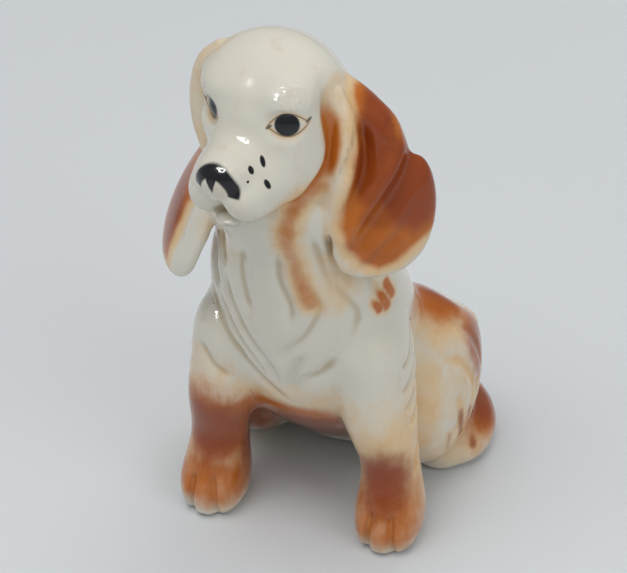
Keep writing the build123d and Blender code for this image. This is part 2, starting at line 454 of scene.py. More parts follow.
# folds on the flap's face: a line as (along the flap, up), its width, and its depth or, below 0, its height
EAR_FOLDS = (
    (((14.5, 3.0), (16.8, -2.0), (16.9, -5.8), (13.3, -11.2), (9.2, -16.5), (6.5, -21.0)), 1.5, -1.1),
    (((19.2, -3.5), (19.2, -6.5), (16.2, -11.5), (12.4, -16.5), (9.5, -20.5)), 1.6, 1.1),
    (((11.5, 2.0), (12.5, -3.0), (11.5, -8.5), (8.5, -13.5), (6.0, -18.5)), 1.2, 0.9),
    (((15.0, -18.5), (12.5, -22.0), (9.0, -24.5)), 0.7, 0.35),
    (((19.5, -13.0), (17.0, -17.5), (14.0, -20.5)), 0.7, 0.35),
)
RIGHT_EAR_FOLDS = ((((6.5, -6.0), (8.0, -13.0), (9.5, -20.0), (9.0, -27.0)), 1.6, 0.8),)


def to_roll(points, side):
    """Distance to the middle of an ear's rolled front, and how far along it."""
    mirrored = in_head(points) * np.array([side, 1, 1])
    return to_line(mirrored, bent(EAR_ROLL if side > 0 else RIGHT_ROLL))


def model_ears(form):
    """Folds of the ear leather: a rolled front edge, a long fold and a full back lobe."""
    for side in SIDES:
        roll, along = to_roll(near_points, side)
        roll_radius = 0.8 + 1.7 * np.sin(math.pi * np.clip(along, 0, 1))
        form = smooth_union(form, roll - roll_radius, 2.8)
        e = in_ear(near_points, side)
        flap = e[:, [0, 2]]
        outer = ramp(e[:, 1], 5.0, 7.0)
        if side > 0:
            form = smooth_union(form, to_line(e, bent(EAR_TOP))[0] - EAR_TOP_RADIUS, 2.0)
            form = smooth_union(form, egg(e, *LOBE), 2.0)
        for line, width, depth in EAR_FOLDS if side > 0 else RIGHT_EAR_FOLDS:
            form += outer * stroke(flap, line, width, depth)
    return form


# ---------------- fur, toes, haunches and vent

# locks of fur on the chest, as (x, z)
CHEST_LOCKS = (
    ((-9.0, 57.0), (-9.0, 51.0), (-6.5, 44.0), (-3.0, 38.0), (-0.5, 31.0)),
    ((5.0, 57.0), (6.5, 51.0), (4.0, 45.0), (0.5, 41.0), (-0.8, 37.0)),
    ((-14.0, 51.0), (-12.5, 44.0), (-8.0, 37.5), (-3.5, 32.0), (0.0, 28.5)),
    ((-11.5, 50.0), (-9.5, 43.5), (-5.5, 37.5), (-2.5, 33.0)),
    ((-12.5, 46.0), (-10.0, 40.5), (-6.0, 35.5)),
    ((9.0, 41.0), (6.0, 37.0), (2.5, 34.5), (0.5, 30.0)),
    ((4.5, 42.0), (2.5, 38.5), (1.0, 34.0), (0.4, 30.0)),
    ((-4.0, 63.0), (-5.5, 57.0), (-5.0, 51.0), (-3.5, 47.0)),
    ((1.5, 64.0), (1.0, 57.0), (2.5, 51.0), (2.0, 46.0)),
    ((9.5, 62.0), (9.0, 55.0), (11.5, 49.0), (10.5, 43.0)),
    ((-15.5, 38.0), (-13.0, 33.5), (-9.5, 31.0)),
    ((8.3, 67.0), (9.3, 61.0), (11.0, 54.0)),
    ((6.3, 67.0), (7.2, 60.0), (9.2, 52.0)),
    ((11.0, 60.0), (12.8, 54.0), (14.5, 49.0)),
    ((-8.0, 66.0), (-9.5, 60.0), (-9.0, 54.0)),
    ((-11.0, 60.0), (-12.0, 54.0), (-11.0, 48.0)),
)
# on the forelegs and haunches, as (y, z)
FORELEG_LOCKS = (
    ((-4.0, 40.0), (-7.5, 37.0), (-11.0, 36.5)),
    ((-4.0, 36.0), (-7.5, 33.0), (-11.5, 32.0)),
    ((-4.5, 32.0), (-7.5, 29.5), (-11.0, 28.5)),
    ((-4.5, 28.0), (-7.0, 26.0), (-10.0, 25.5)),
    ((-5.0, 20.0), (-7.0, 17.0), (-8.0, 13.5)),
)
HAUNCH_LOCKS = (
    ((4.0, 30.0), (9.0, 26.0), (12.0, 19.0), (11.0, 13.0)),
    ((9.0, 34.0), (14.0, 29.0), (17.5, 21.0), (17.0, 14.0)),
    ((15.0, 35.0), (20.0, 30.0), (23.0, 22.0)),
    ((6.0, 22.0), (8.0, 16.0), (7.0, 11.0)),
    ((13.0, 22.0), (14.5, 16.0), (13.0, 10.0)),
)
# on the back, each from a place across and a drop below the nape
BACK_STARTS = ((1.5, 0.0), (4.5, 6.0), (2.5, 18.0), (7.5, 14.0), (0.8, 26.0))
BACK_LOCK = ((0.0, 60.0), (2.5, 50.0), (1.0, 40.0), (2.0, 32.0))
CHIN_HEIGHT = 75.0  # where the chest's fur ends
PAW_MIDDLE = 15.8
PAW_HEIGHT = 12.0
TOE_GAPS = (-2.1, 1.9)  # from the middle of a forepaw
HAUNCH_DIP = (22.0, 30.5, 45.0)  # the haunches fall away behind, round this ball
HAUNCH_DIP_RADIUS = 18.0
VENT = ((0.0, 21.5, -4.0), (0.0, 21.5, 5.0))  # the kiln vent through the torso's base
VENT_RADIUS = 1.75


def carve_fur(form):
    """Locks of fur: on the chest from the front, on the flanks from the side, and on the back from behind."""
    across, fore_aft, height = near_points.T
    from_front = near_points[:, [0, 2]]
    from_side = near_points[:, [1, 2]]
    chest = ramp(-fore_aft, 4.0, 9.0) * ramp(CHIN_HEIGHT - height, 0, 6)
    groove = np.zeros(len(near_points))
    for line in CHEST_LOCKS:
        groove = np.maximum(groove, stroke(from_front, line, 0.7, 0.5) + stroke(from_front, line, 1.8, 0.3))
    form += chest * groove
    for side in SIDES:
        flank = ramp(side * across, 10.0, 14.0)
        for line in HAUNCH_LOCKS:
            form += flank * stroke(from_side, line, 0.8, 0.45)
        for line in FORELEG_LOCKS:
            form += flank * stroke(from_side, line, 0.7, 0.6)
    rear = ramp(fore_aft + 0.45 * height, 20.0, 26.0)
    for side in SIDES:
        for start, drop in BACK_STARTS:
            line = [(side * (start + x), z - drop) for x, z in BACK_LOCK]
            form += rear * stroke(from_front, line, 0.9, 0.38)
    return form


def model_paws(form):
    """Gaps between the toes of the forepaws."""
    forepaw = ramp(-near_points[:, 1], 6.0, 9.0) * ramp(PAW_HEIGHT - near_points[:, 2], 0, 3)
    for side in SIDES:
        middle = side * PAW_MIDDLE
        for gap in TOE_GAPS:
            line = ((middle + 0.8 * gap, 9.5), (middle + gap, 5.0), (middle + 1.1 * gap, 0.0))
            form += forepaw * stroke(near_points[:, [0, 2]], line, 0.65, 1.1)
    return form


def modelled():
    """The whole figure's form on the grid."""
    body_near = model_head(body[close].astype(float))
    ears_near = model_ears(ears[close].astype(float))
    body_near = smooth_union(body_near, egg(near_points, *THROAT), 3.0)
    near = smooth_union(body_near, ears_near, 1.0)
    near = carve_fur(near)
    near = model_paws(near)
    for side in SIDES:
        dip = egg(near_points, *on_side([HAUNCH_DIP], side), (HAUNCH_DIP_RADIUS,) * 3)
        near = smooth_cut(near, dip, 3.0)
    near = smooth_cut(near, to_line(near_points, VENT)[0] - VENT_RADIUS, 0.5)
    whole = np.where(np.minimum(body, ears) < 0, np.float32(-2.0), np.float32(NEAR_OUTSIDE))
    whole[close] = near
    height = cad_low[2] + VOXEL * np.arange(SHAPE[2])
    return np.maximum(whole, -height[None, None, :]).astype(np.float32)


form = modelled()
soft_form = blurred(np.clip(form, -1.5, 1.5), 1.0)


# ---------------- cutting the form into the castings

def owners():
    """Number of the casting that each voxel of the form belongs to, from 1, and 0 outside."""
    owner = np.zeros(SHAPE, np.uint8)
    nearest = np.full(SHAPE, 1e9, np.float32)
    for number, node in enumerate(CASTINGS, start=1):
        nearer = distances[node] < nearest
        owner[nearer] = number
        nearest[nearer] = distances[node][nearer]
    owner[form >= 0] = 0
    return owner


owner = owners()

CORNERS = [[(corner >> axis) & 1 for axis in range(3)] for corner in range(8)]  # of a voxel cell
SLOPE_STEP = 0.7  # voxels
SEAM_DEPTH = 0.9 * VOXEL  # seams stay this far under the skin, apart from their rims


def sample(volume, at):
    """Values of a volume at places given in voxels, between the grid points."""
    base = np.clip(np.floor(at).astype(int), 0, np.array(SHAPE) - 2)
    part = at - base
    total = np.zeros(len(at))
    for corner in CORNERS:
        step = np.array(corner)
        weight = np.prod(np.where(step, part, 1 - part), axis=1)
        i, j, k = (base + step).T
        total += weight * volume[i, j, k]
    return total


def slope(volume, at):
    """Gradient of a volume at places given in voxels."""
    parts = []
    for axis in range(3):
        step = np.zeros(3)
        step[axis] = SLOPE_STEP
        parts.append((sample(volume, at + step) - sample(volume, at - step)) / (2 * SLOPE_STEP))
    return np.stack(parts, axis=1)


def crossed_cells():
    """Voxel cells that a surface or a seam passes through, with their corners' owners and values.

    The last result holds each such cell's number, and -1 for the other cells.
    """
    views = [tuple(slice(step, size - 1 + step) for step, size in zip(corner, SHAPE)) for corner in CORNERS]
    first = owner[views[0]]
    crossed = np.zeros(first.shape, bool)
    for view in views[1:]:
        crossed |= owner[view] != first
    cells = np.argwhere(crossed)
    numbers = np.full(first.shape, -1, np.int32)
    numbers[crossed] = np.arange(len(cells))
    labels = np.stack([owner[view][crossed] for view in views], axis=1)
    values = np.stack([form[view][crossed] for view in views], axis=1)
    return cells, labels, values, numbers


def crossing_means(cells, labels, values, shows):
    """A vertex in each cell: the mean of where its edges cross the surface or, under it, a seam."""
    total = np.zeros((len(cells), 3))
    count = np.zeros(len(cells))
    for a, corner in enumerate(CORNERS):
        for axis in range(3):
            b = a | (1 << axis)
            if a == b:
                continue
            differs = labels[:, a] != labels[:, b]
            surface = differs & ((labels[:, a] == 0) | (labels[:, b] == 0))
            used = np.where(shows, surface, differs)
            t = np.full(len(cells), 0.5)
            gap = values[:, a] - values[:, b]
            safe = surface & (np.abs(gap) > 1e-9)
            t[safe] = np.clip(values[safe, a] / gap[safe], 0.02, 0.98)
            place = np.tile(np.array(corner, float), (len(cells), 1))
            place[:, axis] = t
            total += place * used[:, None]
            count += used
    return cells + total / np.maximum(count, 1)[:, None]


def settled(vertex, shows):
    """Vertices of the surface moved onto it, and vertices of the seams kept under it."""
    for _ in range(2):
        on_skin = vertex[shows]
        g = slope(form, on_skin)
        squared = np.maximum((g ** 2).sum(axis=1), 1e-6)
        move = -(sample(form, on_skin) / squared)[:, None] * g
        length = np.linalg.norm(move, axis=1, keepdims=True)
        vertex[shows] = on_skin + move * np.minimum(1, 0.4 / np.maximum(length, 1e-9))
    hidden = vertex[~shows]
    g = slope(form, hidden)
    steep = np.maximum(np.linalg.norm(g, axis=1, keepdims=True), 0.3 * VOXEL)
    shallow = np.maximum(0, sample(form, hidden) + SEAM_DEPTH)[:, None]
    vertex[~shows] = hidden - g / steep ** 2 * shallow
    return vertex


def casting_quads(numbers):
    """Quads of each casting, one for each grid edge that leads out of it."""
    quads = {node: [] for node in CASTINGS}
    for axis in range(3):
        u, v = (axis + 1) % 3, (axis + 2) % 3
        low = [slice(None)] * 3
        high = [slice(None)] * 3
        low[axis] = slice(0, -1)
        high[axis] = slice(1, None)
        a = owner[tuple(low)]
        b = owner[tuple(high)]
        edge = np.argwhere(a != b)
        for way in (u, v):
            edge = edge[(edge[:, way] > 0) & (edge[:, way] < SHAPE[way] - 1)]
        corners = []
        for du, dv in ((-1, -1), (0, -1), (0, 0), (-1, 0)):
            around = edge.copy()
            around[:, u] += du
            around[:, v] += dv
            corners.append(numbers[tuple(around.T)])
        quad = np.stack(corners, axis=1)
        before = a[tuple(edge.T)]
        after = b[tuple(edge.T)]
        for index, node in enumerate(CASTINGS, start=1):
            quads[node].append(quad[before == index])
            quads[node].append(quad[after == index][:, ::-1])
    return {node: np.concatenate(parts) for node, parts in quads.items()}


cells, labels, values, cell_numbers = crossed_cells()
shows = (labels == 0).any(axis=1)
vertices = settled(crossing_means(cells, labels, values, shows), shows)
quads = casting_quads(cell_numbers)
normals = np.zeros_like(vertices)
normals[shows] = slope(form, vertices[shows])
normals[shows] /= np.maximum(np.linalg.norm(normals[shows], axis=1, keepdims=True), 1e-9)
skin_points = vertices * VOXEL + cad_low


# ---------------- paint, as soft masks on the skin

# airbrushed spots in the layout: (centre, radii, strength)
ORANGE_SPOTS = (
    ((16.5, -11.0, 4.0), (9, 9, 12), 0.65),
    ((-15.8, -9.0, 7.0), (9, 9, 6), 0.75),
    ((-14.5, -9.0, 20.0), (7, 9, 10), 1.0),
    ((-3.0, -10.0, 23.0), (12, 6, 4.5), 0.95),
    ((23.0, 24.0, 7.0), (5, 10, 6), 0.85),
    ((15.5, 16.0, 37.0), (10, 9, 6), 1.0),
    ((-15.5, 16.0, 37.0), (10, 9, 6), 0.9),
    ((-23.5, 16.5, 28.0), (4.5, 5, 9), 0.8),
    ((23.5, 16.5, 28.0), (4.5, 5, 9), 0.85),
    ((13.0, 12.0, 44.0), (6, 7, 9), 0.7),
)
BROWN_SPOTS = (
    ((16.0, -13.0, 14.5), (5.5, 6, 7), 0.95),
    ((-14.5, -12.5, 18.5), (6.5, 6, 9), 0.95),
    ((0.0, -8.0, 19.0), (9, 8, 5.0), 1.0),
    ((23.6, 24.0, 8.5), (4, 7, 4.5), 0.9),
    ((18.0, 17.0, 37.0), (7, 6, 5), 0.75),
    ((-18.0, 17.0, 37.0), (7, 6, 5), 0.7),
    ((-2.0, -2.0, 13.0), (14, 11, 10), 1.0),
    ((-11.0, 3.0, 9.0), (4, 6, 8), 0.8),
    ((24.5, 16.5, 27.0), (3, 5, 7), 0.7),
)
TAN_SPOTS = (
    ((16.0, -8.0, 15.0), (11, 12, 17), 0.95),
    ((-14.0, -6.0, 18.0), (11, 12, 20), 0.95),
    ((18.5, 1.0, 24.0), (4, 5, 12), 0.7),
    ((20.0, 12.0, 38.0), (10, 12, 12), 0.8),
    ((-20.0, 12.0, 38.0), (10, 12, 12), 0.8),
    ((-20.0, 0.5, 24.0), (4, 5, 12), 0.7),
    ((-17.0, 12.0, 5.0), (8, 12, 8), 0.6),
    ((22.0, 14.0, 8.0), (8, 16, 8), 0.7),
    ((22.5, 8.0, 22.0), (5, 6, 10), 0.5),
    ((12.0, 8.0, 50.0), (7, 10, 14), 0.6),
    ((0.0, -11.0, 27.0), (20, 8, 7), 0.6),
    ((9.5, -17.0, 57.0), (4, 6, 8), 0.6),
    ((-9.0, -18.0, 62.0), (4, 6, 6), 0.5),
)
# single brush strokes in the layout
TAIL_STROKES = (
    ((23.6, 8.0, 16.5), (23.0, 9.6, 11.0)),
    ((24.2, 11.5, 15.0), (23.8, 13.2, 9.5)),
    ((22.8, 5.0, 13.5), (22.0, 6.6, 8.5)),
    ((23.8, 16.5, 10.0), (24.2, 14.6, 5.0)),
)
SHOULDER_STROKES = (
    ((14.3, -11.8, 52.6), (14.9, -9.6, 48.0)),
    ((14.8, -9.4, 52.2), (15.1, -8.2, 49.5)),
    ((14.2, -12.8, 50.2), (14.5, -11.4, 48.2)),
)
NECK_STRIPE = ((7.5, 75.0), (4.6, 72.0), (3.2, 66.0), (4.2, 58.0), (5.5, 52.0))  # as (x, z)
# patches on the ears, as (along the flap, up): an outline, and dark spots in it
EAR_PATCH = (
    (11.0, 5.5), (10.7, 1.0), (10.0, -3.0), (9.0, -8.0), (7.6, -12.0), (6.6, -16.0), (7.2, -19.5),
    (9.5, -23.0), (12.5, -24.6), (16.0, -23.6), (19.0, -21.5), (28.0, -16.0), (28.0, 6.0),
)
EAR_DARK = (
    ((14.5, -1.5), (2.6, 5.5), 1.0),
    ((12.5, -8.5), (2.6, 5.5), 0.85),
    ((16.0, -6.5), (3.0, 4.5), 0.9),
    ((18.5, -11.0), (5.5, 7.5), 1.0),
    ((14.5, -15.0), (4.5, 3.0), 0.6),
    ((12.5, -20.0), (5.0, 3.5), 0.4),
)
RIGHT_EAR_PATCH = (
    (5.0, 4.0), (6.0, -4.0), (7.5, -12.0), (9.5, -18.0),
    (10.5, -23.0), (11.0, -28.5), (22.0, -28.5), (22.0, 4.0),
)
RIGHT_EAR_DARK = (((14.0, -20.0), (3.0, 7.0), 0.9),)


def airbrush(at, spots, reach=1.5, soft=1.1):
    """Soft spots: each reaches that many of its radii, and fades over the last of them."""
    layer = np.zeros(len(at))
    for centre, radii, strength in spots:
        out = np.linalg.norm((at - np.array(centre)) / np.array(radii), axis=1)
        layer = np.maximum(layer, strength * ramp(reach - out, 0.0, soft))
    return layer


def brushed(distance, reach, soft, strength):
    """A brush stroke at some distance from its line: it reaches so far, and fades over the last of it."""
    return strength * ramp(reach - distance, 0.0, soft)


def inside_shape(plane, outline):
    """Distance to an outline in a plane, positive inside it."""
    outline = np.array(outline + outline[:1], float)
    distance = to_line(plane, outline)[0]
    x, y = plane.T
    crossings = np.zeros(len(plane), bool)
    for (x0, y0), (x1, y1) in zip(outline[:-1], outline[1:]):
        if y0 == y1:
            continue
        spans = (y0 > y) != (y1 > y)
        crossings ^= spans & (x < x0 + (y - y0) * (x1 - x0) / (y1 - y0))
    return np.where(crossings, distance, -distance)


def add(paint, colour, mask):
    """Adds a mask to one colour."""
    paint[colour] = np.maximum(paint[colour], mask)


def spare_toes(paint):
    """Leaves the ends of the foretoes pale."""
    back, height = skin_points[:, 1], skin_points[:, 2]
    toes = 0.4 + 0.6 * ramp(height + 0.15 * back, -1.5, 3.0)
    paint["orange"] = np.where(back < -4, paint["orange"] * toes, paint["orange"])


def paint_strokes(paint):
    """Single brush strokes on haunches, neck, shoulder and tail."""
    flank = ramp(np.abs(skin_points[:, 0]), 10.0, 14.0)
    for line in HAUNCH_LOCKS:
        add(paint, "tan", flank * stroke(skin_points[:, [1, 2]], line, 1.5, 0.95))
    front = ramp(-skin_points[:, 1], 12.0, 16.0)
    stripe = to_line(skin_points[:, [0, 2]], bent(NECK_STRIPE))[0]
    add(paint, "orange", front * brushed(stripe, 2.2, 2.1, 0.55))
    add(paint, "tan", front * brushed(stripe, 4.2, 3.5, 0.8))
    for line in SHOULDER_STROKES:
        touch = to_line(skin_points, line)[0]
        add(paint, "orange", brushed(touch, 1.3, 0.9, 0.95))
        add(paint, "tan", brushed(touch, 2.6, 2.0, 0.7))
    for line in TAIL_STROKES:
        touch = to_line(skin_points, line)[0]
        add(paint, "brown", brushed(touch, 1.3, 1.0, 0.75))
        add(paint, "tan", brushed(touch, 3.0, 2.5, 0.9))


def paint_cheeks(paint):
    """Orange in the groove beside each cheek, and tan on the ears' rolled fronts."""
    face_points = in_face(skin_points)
    lower = ramp(5.5 - face_points[:, 2], 0.0, 4.0)
    for side in SIDES:
        groove = to_line(face_points, bent(on_side(CHEEK_GROOVE, side)))[0]
        add(paint, "orange", lower * brushed(groove, 2.2, 1.8, 0.85))
        add(paint, "tan", lower * brushed(groove, 3.6, 3.0, 0.8))
        add(paint, "tan", brushed(to_roll(skin_points, side)[0], 4.2, 1.6, 0.5))


def paint_ears(paint):
    """A patch with dark spots on the outer face of each ear, which fades at the top of the right one."""
    for side in SIDES:
        e = in_ear(skin_points, side)
        outer = ramp(e[:, 1], 2.0, 5.0)
        flap = e[:, [0, 2]]
        patch, dark = (EAR_PATCH, EAR_DARK) if side > 0 else (RIGHT_EAR_PATCH, RIGHT_EAR_DARK)
        deep = inside_shape(flap, patch)
        if side < 0:
            outer = outer * ramp(1.0 - flap[:, 1], 0.0, 7.0)
        add(paint, "orange", outer * ramp(deep, -0.3, 2.2))
        add(paint, "tan", outer * 0.9 * ramp(deep, -2.4, 0.5))
        add(paint, "brown", outer * airbrush(flap, dark, 1.35, 0.75))


def paint_masks():
    """Masks on the skin: the three colours, the bare clay of the base, and how deep a hollow is."""
    paint = {
        "orange": airbrush(skin_points, ORANGE_SPOTS),
        "brown": airbrush(skin_points, BROWN_SPOTS),
        "tan": airbrush(skin_points, TAN_SPOTS),
    }
    spare_toes(paint)
    paint_strokes(paint)
    paint_cheeks(paint)
    paint_ears(paint)
    paint["bare"] = ramp(0.9 - skin_points[:, 2], 0.0, 0.5)
    # how deep a hollow is, which the glaze turns into painted shade and gathered glaze
    paint["hollow"] = np.clip(-sample(soft_form, vertices) / 0.35, -1, 1)
    return paint


masks = paint_masks()


# ---------------- shader nodes

def link_or_set(tree, socket, value):
    """Links a socket to another, or gives it a value."""
    if isinstance(value, bpy.types.NodeSocket):
        tree.links.new(value, socket)
    else:
        socket.default_value = value


def maths(tree, operation, *inputs):
    """Result of a maths node."""
    made = tree.nodes.new("ShaderNodeMath")
    made.operation = operation
    for socket, value in zip(made.inputs, inputs):
        link_or_set(tree, socket, value)
    return made.outputs[0]


def vector_maths(tree, operation, first, second):
    """Result of a vector maths node on a socket and a fixed vector."""
    made = tree.nodes.new("ShaderNodeVectorMath")
    made.operation = operation
    tree.links.new(first, made.inputs[0])
    made.inputs[1].default_value = tuple(float(v) for v in second)
    return made.outputs["Value" if operation == "DOT_PRODUCT" else "Vector"]


def mixed(tree, share, first, second):
    """Colour first to second by share."""
    made = tree.nodes.new("ShaderNodeMix")
    made.data_type = "RGBA"
    sockets = {(s.name, s.type): s for s in made.inputs}
    link_or_set(tree, sockets["Factor", "VALUE"], share)
    for name, colour in (("A", first), ("B", second)):
        value = colour if isinstance(colour, bpy.types.NodeSocket) else (*colour, 1.0)
        link_or_set(tree, sockets[name, "RGBA"], value)
    return [s for s in made.outputs if s.type == "RGBA"][0]


def strongest(tree, marks):
    """The greatest of some masks."""
    total = marks[0]
    for mark in marks[1:]:
        total = maths(tree, "MAXIMUM", total, mark)
    return total


def attribute(tree, name):
    """A mask that the mesh carries."""
    made = tree.nodes.new("ShaderNodeAttribute")
    made.attribute_name = name
    return made.outputs["Fac"]


def noise(tree, scale, detail=3.0, rough=0.55, stretch=(1.0, 1.0, 1.0)):
    """Noise over the object, in cycles per metre."""
    place = tree.nodes.new("ShaderNodeTexCoord").outputs["Object"]
    mapping = tree.nodes.new("ShaderNodeMapping")
    tree.links.new(place, mapping.inputs["Vector"])
    mapping.inputs["Scale"].default_value = stretch
    made = tree.nodes.new("ShaderNodeTexNoise")
    tree.links.new(mapping.outputs["Vector"], made.inputs["Vector"])
    made.inputs["Scale"].default_value = scale
    made.inputs["Detail"].default_value = detail
    made.inputs["Roughness"].default_value = rough
    return made.outputs["Fac"]


def stepped(tree, value, start, end):
    """Smooth step of a socket from 0 at start to 1 at end."""
    made = tree.nodes.new("ShaderNodeMapRange")
    made.interpolation_type = "SMOOTHSTEP"
    tree.links.new(value, made.inputs["Value"])
    made.inputs["From Min"].default_value = start
    made.inputs["From Max"].default_value = end
    return made.outputs["Result"]


def below(tree, value, limit, soft):
    """1 where a value is below a limit, 0 above it, with a soft change between."""
    return stepped(tree, value, limit + soft, limit - soft)


def along_axes(tree, centre, axes):
    """Position of the surface from a centre, along some axes, in millimetres of the layout."""
    place = tree.nodes.new("ShaderNodeTexCoord").outputs["Object"]
    offset = vector_maths(tree, "SUBTRACT", place, to_row(centre))
    return [maths(tree, "MULTIPLY", vector_maths(tree, "DOT_PRODUCT", offset, axis), 1 / MM) for axis in axes]


def oval(tree, across, up, centre, radii, lean=0.0):
    """Distance from a centre in a plane, 1 on an oval of these radii that leans by an angle."""
    c, s = math.cos(lean), math.sin(lean)
    x = maths(tree, "SUBTRACT", across, centre[0])
    y = maths(tree, "SUBTRACT", up, centre[1])
    u = maths(tree, "MULTIPLY_ADD", x, c / radii[0], maths(tree, "MULTIPLY", y, s / radii[0]))
    v = maths(tree, "MULTIPLY_ADD", y, c / radii[1], maths(tree, "MULTIPLY", x, -s / radii[1]))
    return maths(tree, "SQRT", maths(tree, "MULTIPLY_ADD", u, u, maths(tree, "MULTIPLY", v, v)))


# ---------------- painted face

FACE_AXES = [from_face(*v) - from_face(0, 0, 0) for v in ((1, 0, 0), (0, 1, 0), (0, 0, 1))]
WOBBLE = 0.3  # of the brush's edge
IRIS = ((-0.1, 0.15), (1.85, 1.85))
TOP_LID = (-0.205, 1.85)  # each lid is an arc: its bend and its height over the eye's middle
LOW_LID = (0.19, -1.70)
EYE_CORNERS = (((-2.8, -0.1), (0.5, 0.26), 0.5), ((3.0, 0.35), (0.5, 0.26), 0.6))
NOSE_PAINT = (0, 17.5, -3.0)  # middle of the painted nose
NOSE_ARCH = ((0, -1.9), (3.75, 4.4))
FRECKLE_FIELD = (4.4, 13.5, -2.6)  # middle of the freckles
FRECKLES = (
    ((-1.1, 0.7), (0.36, 0.62), 0.45),
    ((0.8, 1.1), (0.36, 0.80), 0.15),
    ((1.0, -1.9), (0.36, 0.80), 0.45),
    ((-1.8, -0.6), (0.2, 0.2), 0.0),
)


def eye_paint(tree, side, wobble):
    """Ink of an eye's iris and lids, and the tan round its lids."""
    centre = from_face(side * EYE[0], EYE[1], EYE[2])
    axes = [sum(a * f for a, f in zip(axis, FACE_AXES)) for axis in eye_axes(side)]
    across, out, up = along_axes(tree, centre, axes)
    round_eye = below(tree, oval(tree, across, out, (0, 0), (4.6, 4.2)), 1, 0.03)
    near = maths(tree, "MULTIPLY", round_eye, below(tree, maths(tree, "ABSOLUTE", up), 3.0, 0.05))
    across = maths(tree, "ADD", across, wobble)
    iris = below(tree, oval(tree, across, up, *IRIS), 1, 0.08)
    squared = maths(tree, "MULTIPLY", across, across)
    top = maths(tree, "SUBTRACT", up, maths(tree, "MULTIPLY_ADD", squared, *TOP_LID))
    low = maths(tree, "SUBTRACT", up, maths(tree, "MULTIPLY_ADD", squared, *LOW_LID))
    edge = maths(tree, "ABSOLUTE", maths(tree, "MAXIMUM", top, maths(tree, "MULTIPLY", low, -1.0)))
    line = below(tree, edge, 0.13, 0.10)
    corners = strongest(tree, [below(tree, oval(tree, across, up, *mark), 1, 0.3) for mark in EYE_CORNERS])
    ink = strongest(tree, [iris, maths(tree, "MULTIPLY", line, 0.7), maths(tree, "MULTIPLY", corners, 0.8)])
    lid = below(tree, edge, 0.45, 0.4)
    return maths(tree, "MULTIPLY", ink, near), maths(tree, "MULTIPLY", lid, near)


def nose_paint(tree, wobble):
    """Ink of the nose: an arch over a middle prong."""
    across, out, up = along_axes(tree, from_face(*NOSE_PAINT), FACE_AXES)
    near = below(tree, oval(tree, across, out, (0, 0), (4.8, 5.4)), 1, 0.02)
    across = maths(tree, "ADD", across, wobble)
    arch = maths(tree, "ABSOLUTE", maths(tree, "SUBTRACT", oval(tree, across, up, *NOSE_ARCH), 0.8))
    slant = maths(tree, "MULTIPLY_ADD", across, -0.22, maths(tree, "MULTIPLY", up, -1.0))
    arch = maths(tree, "MULTIPLY", below(tree, arch, 0.22, 0.05), below(tree, slant, 1.7, 0.2))
    prong = maths(tree, "MULTIPLY_ADD", up, -0.42, maths(tree, "ABSOLUTE", across))
    low_enough = below(tree, maths(tree, "ABSOLUTE", up), 1.8, 0.1)
    prong = maths(tree, "MULTIPLY", below(tree, prong, 0.72, 0.12), low_enough)
    return maths(tree, "MULTIPLY", strongest(tree, [arch, prong]), near)


def freckle_paint(tree):
    """Ink of the freckles on the left cheek, which looks about an eighth of a turn to the left."""
    turned = [FACE_AXES[0] * 0.7 - FACE_AXES[1] * 0.7, FACE_AXES[0] * 0.7 + FACE_AXES[1] * 0.7, FACE_AXES[2]]
    across, out, up = along_axes(tree, from_face(*FRECKLE_FIELD), turned)
    near = below(tree, maths(tree, "ABSOLUTE", out), 3.5, 0.1)
    spots = [below(tree, oval(tree, across, up, *freckle), 1, 0.2) for freckle in FRECKLES]
    return maths(tree, "MULTIPLY", strongest(tree, spots), near)


def face_paint(tree, jitter):
    """Black of the eyes, nose and freckles, and the tan line of the lids."""
    wobble = maths(tree, "MULTIPLY", jitter, WOBBLE)
    inks, lids = zip(*[eye_paint(tree, side, wobble) for side in SIDES])
    return strongest(tree, [*inks, nose_paint(tree, wobble), freckle_paint(tree)]), strongest(tree, lids)


# ---------------- glaze

WHITE = (0.66, 0.635, 0.55)
POOLED_AND_SHADED = (0.44, 0.35, 0.21)  # white darker and yellower in hollows: partly glaze gathered there, partly painted shade in the grooves
TAN = (0.72, 0.47, 0.21)
ORANGE = (0.46, 0.128, 0.013)
BROWN = (0.255, 0.047, 0.008)
INK = (0.006, 0.007, 0.010)
CLAY = (0.72, 0.66, 0.58)
GLAZE = {"IOR": 1.52, "Specular IOR Level": 0.28, "Coat Weight": 0.32, "Coat Roughness": 0.03}
GLAZE_ROUGHNESS = 0.10
CLAY_ROUGHNESS = 0.45  # more than the glaze's
RIPPLE_STRENGTH = 0.12
RIPPLE_HEIGHT = 0.0004


